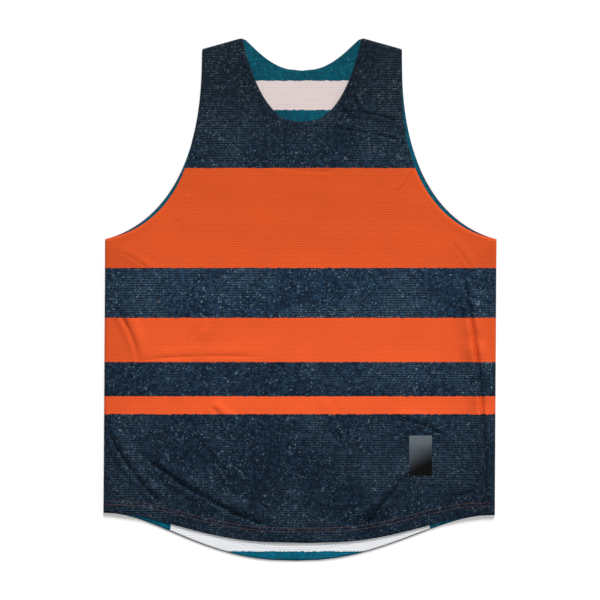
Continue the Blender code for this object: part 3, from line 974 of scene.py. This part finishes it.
def knit_cloth(name, bands, band_lit_and_shaded, ground, painted_shading_steps, rib_painted_shade):
    """Ribbed mesh: bands on a flecked ground, with painted light and shade from hem to shoulder,
    and painted shade in the rib valleys, the eyelets and towards the side seams.
    """
    shader = Shader(name)
    rib, eyelet = knit(shader)
    up = shader.step(shader.y, -200 * MM, 220 * MM)
    # Painted light and shade by height, multiplied into the ground.
    painted_shading = shader.blend(shader.step(shader.y, -280 * MM, 40 * MM), painted_shading_steps[0], painted_shading_steps[1])
    painted_shading = shader.blend(shader.step(shader.y, 20 * MM, 340 * MM), painted_shading, painted_shading_steps[2])
    flecked_ground = shader.blend(1.0, flecked(shader, rib, *ground), painted_shading, "MULTIPLY")
    # Painted shade on the bands: each goes from its lit colour low on the body to a shaded one
    # above.
    band_with_painted_shade = shader.blend(up, *band_lit_and_shaded)
    fibre = shader.noise(900.0, 3.0, 0.6)
    cloud = shader.maths("MULTIPLY_ADD", shader.noise(22.0, 3.0), 0.14, 0.93)
    colour = shader.blend(banded(shader, bands), flecked_ground, band_with_painted_shade)
    # Painted shade: rib crests lighter, rib valleys darker.
    shade = shader.maths("MULTIPLY_ADD", rib, rib_painted_shade, 1 - rib_painted_shade / 2)
    # Painted shade in the eyelets.
    shade = shader.maths("MULTIPLY", shade, shader.maths("MULTIPLY_ADD", eyelet, -0.28, 1.04))
    shade = shader.maths("MULTIPLY", shade, shader.maths("MULTIPLY_ADD", fibre, 0.2, 0.9))
    shade = shader.maths("MULTIPLY", shade, cloud)
    # Painted shade: darker towards the side seams, where the cloth rolls away from the light.
    side = shader.step(shader.maths("ABSOLUTE", shader.x), 180 * MM, 290 * MM)
    shade = shader.maths("MULTIPLY", shade, shader.maths("MULTIPLY_ADD", side, -0.14, 1.0))
    grey = shader.add("CombineColor", {0: shade, 1: shade, 2: shade}).outputs[0]
    colour = shader.blend(1.0, colour, grey, "MULTIPLY")
    relief = shader.maths("MULTIPLY_ADD", eyelet, -0.16, shader.maths("MULTIPLY", fibre, 0.05))
    bump = shader.add("Bump", {"Height": relief, "Distance": MM, "Strength": 1.0})
    shader.set(Base_Color=colour, Normal=bump.outputs[0], Metallic=0.0)
    shader.set(Roughness=shader.maths("MULTIPLY_ADD", fibre, 0.2, 0.66))
    shader.set(Specular_IOR_Level=0.07, Sheen_Weight=0.02, Sheen_Roughness=0.4)
    return shader.material


# Each band pair is a lit colour for the hem and a painted shaded one for the shoulders; the
# white's shaded one is also warmed by painted orange bounce light.
ORANGE_LIT_AND_SHADED = srgb(232, 89, 42), srgb(206, 78, 32)
NAVY = (srgb(12, 28, 45), srgb(31, 56, 79), srgb(116, 143, 160), srgb(124, 108, 96))
WHITE_LIT_AND_SHADED = srgb(226, 228, 231), srgb(212, 198, 196)
TEAL = (srgb(0, 64, 79), srgb(0, 83, 102), srgb(40, 118, 134), srgb(0, 46, 60))
# Painted shading at the hem, the middle and the shoulders: the navy darkest at the shoulders and
# darker at the hem too, the teal brighter at the hem than at the neck, which lies in shade.
NAVY_PAINTED_SHADING = (0.58, 0.58, 0.58, 1), (1, 1, 1, 1), (0.5, 0.46, 0.42, 1)
TEAL_PAINTED_SHADING = (1.2, 1.5, 1.65, 1), (1.1, 1.2, 1.3, 1), (1, 1, 1, 1)

outer_cloth = knit_cloth("navy and orange knit", ORANGE_BANDS, ORANGE_LIT_AND_SHADED, NAVY, NAVY_PAINTED_SHADING, 0.115)
lining_cloth = knit_cloth("teal and white knit", WHITE_BANDS, WHITE_LIT_AND_SHADED, TEAL, TEAL_PAINTED_SHADING, 0.06)


# %% [markdown]
# Thread is a twist of plies with a slight sheen and painted shade in its grooves.  The label
# is smooth satin whose painted reflection fades on a slant from grey down to black, with
# nothing printed on it.


# %% Thread and label
REFLECTION_SLANT = 10.0


def thread(name, colour, shadow):
    shader = Shader(name)
    twist = shader.maths("ADD", shader.x, shader.maths("MULTIPLY", shader.y, 1.6))
    twist = shader.maths("SINE", shader.maths("MULTIPLY", twist, 2 * math.pi / (0.45 * MM)))
    twist = shader.maths("MULTIPLY_ADD", twist, 0.5, 0.5)
    bump = shader.add("Bump", {"Height": twist, "Distance": 0.05 * MM, "Strength": 1.0})
    # Painted shade in the grooves of the twist: the darker colour where the twist sinks, broken
    # by noise.
    wear_and_twist_shade = shader.maths("MULTIPLY_ADD", twist, 0.4, shader.noise(90.0, 3.0))
    shader.set(Base_Color=shader.blend(shader.step(wear_and_twist_shade, 0.3, 0.9), shadow, colour))
    shader.set(Normal=bump.outputs[0], Roughness=0.5, Sheen_Weight=0.2)
    return shader.material


def satin_label():
    shader = Shader("satin label, painted reflection grey to black")
    low = LABEL_CENTRE[1] - LABEL_SIZE[1] / 2
    up = shader.maths("DIVIDE", shader.maths("SUBTRACT", shader.y, low), LABEL_SIZE[1])
    side = shader.maths("SUBTRACT", shader.x, LABEL_CENTRE[0])
    # Painted reflection of the light: grey at the top, fading on a slant down to black.
    painted_reflection = shader.maths("SUBTRACT", up, shader.maths("MULTIPLY", side, REFLECTION_SLANT))
    wefts = shader.maths("SINE", shader.maths("MULTIPLY", shader.y, 2 * math.pi / (0.7 * MM)))
    warps = shader.maths("SINE", shader.maths("MULTIPLY", shader.x, 2 * math.pi / (0.5 * MM)))
    weave = shader.maths("MULTIPLY", wefts, warps)
    reflection_and_weave = shader.maths("MULTIPLY_ADD", weave, 0.03, painted_reflection)
    bump = shader.add("Bump", {"Height": weave, "Distance": 0.03 * MM, "Strength": 1.0})
    # The painted reflection is lightest along the top.
    grey = shader.blend(shader.step(up, 0.62, 0.85), srgb(78, 86, 95), srgb(93, 101, 108))
    colour = shader.blend(shader.step(reflection_and_weave, 0.15, 0.85), srgb(6, 6, 6), grey)
    shader.set(Base_Color=colour, Normal=bump.outputs[0], Roughness=0.45)
    shader.set(Specular_IOR_Level=0.06)
    return shader.material


rust_thread = thread("rust thread", srgb(132, 66, 52), srgb(80, 44, 44))
pale_thread = thread("pale thread", srgb(206, 206, 210), srgb(150, 160, 166))
label_satin = satin_label()

DRESSED = {
    outer_front: outer_cloth,
    outer_back: outer_cloth,
    inner_front: lining_cloth,
    inner_back: lining_cloth,
    front_stitches: rust_thread,
    back_stitches: rust_thread,
    lining_stitches: pale_thread,
    hem_label: label_satin,
}
for piece, material in DRESSED.items():
    piece.data.materials.append(material)
print(len(DRESSED), "pieces have their finish")

# %% [markdown]
# ## What stands for what
#
# Each shell takes the place of one solid, which is hidden, and rides on the only body.

# %% Bodies, and the solids hidden
for piece in DRESSED:
    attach(piece, "root")
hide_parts("front")
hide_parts("front_lining")
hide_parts("back_lining")
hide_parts("back")
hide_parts("label")


# %% [markdown]
# ## Floor, light and camera
#
# A pale floor, one broad soft light beyond the shoulders to draw out the ribs and most folds,
# a weak one at the side for the folds that run lengthwise, and a little from overhead.  The
# camera looks straight down, from far enough away that the thickness of the top hardly leans.

# %% Floor and light
FLOOR_DROP = 0.2 * MM  # so that it doesn't touch the underside and show through it
mesh = bmesh.new()
bmesh.ops.create_grid(mesh, x_segments=1, y_segments=1, size=6.0)
floor = finished("floor", mesh)
paper = Shader("pale floor")
grain = paper.noise(300.0, 3.0)
shade = paper.blend(grain, (0.87, 0.87, 0.87, 1), (0.90, 0.90, 0.90, 1))
paper.set(Base_Color=shade, Roughness=0.9)
floor.data.materials.append(paper.material)
floor.data.transform(Matrix.Translation((0, 0, -FLOOR_DROP)))


def softbox(name, place, size, power):
    """A square light that faces the middle of the top."""
    lamp = bpy.data.lights.new(name, "AREA")
    lamp.shape = "SQUARE"
    lamp.size = size
    lamp.energy = power
    stand = bpy.data.objects.new(name, lamp)
    stand.location = place
    stand.rotation_euler = (-Vector(place)).to_track_quat("-Z", "Y").to_euler()
    bpy.context.scene.collection.objects.link(stand)
    return stand


softbox("key", place=(0.8, 8.8, 5.4), size=3.0, power=1410)
softbox("side", place=(9.2, 0.6, 3.4), size=3.0, power=250)
softbox("overhead", place=(-0.1, -0.9, 2.3), size=1.3, power=16)
world = bpy.data.worlds.new("studio")
world.use_nodes = True
world.node_tree.nodes["Background"].inputs["Color"].default_value = (1, 1, 1, 1)
world.node_tree.nodes["Background"].inputs["Strength"].default_value = 0.24
bpy.context.scene.world = world

# %% Camera
FRAME_WIDTH = 842 * MM
FRAME_CENTRE = (0, -1 * MM)
CAMERA_HEIGHT = 2.4
SENSOR = 36.0
camera = bpy.data.cameras.new("camera")
camera.sensor_width = SENSOR
camera.lens = SENSOR * (CAMERA_HEIGHT - FRONT_TOP) / FRAME_WIDTH
viewpoint = bpy.data.objects.new("camera", camera)
viewpoint.location = (*FRAME_CENTRE, CAMERA_HEIGHT)
bpy.context.scene.collection.objects.link(viewpoint)
bpy.context.scene.camera = viewpoint
bpy.context.scene.view_settings.view_transform = "Standard"
print("lens", round(camera.lens, 1), "mm")
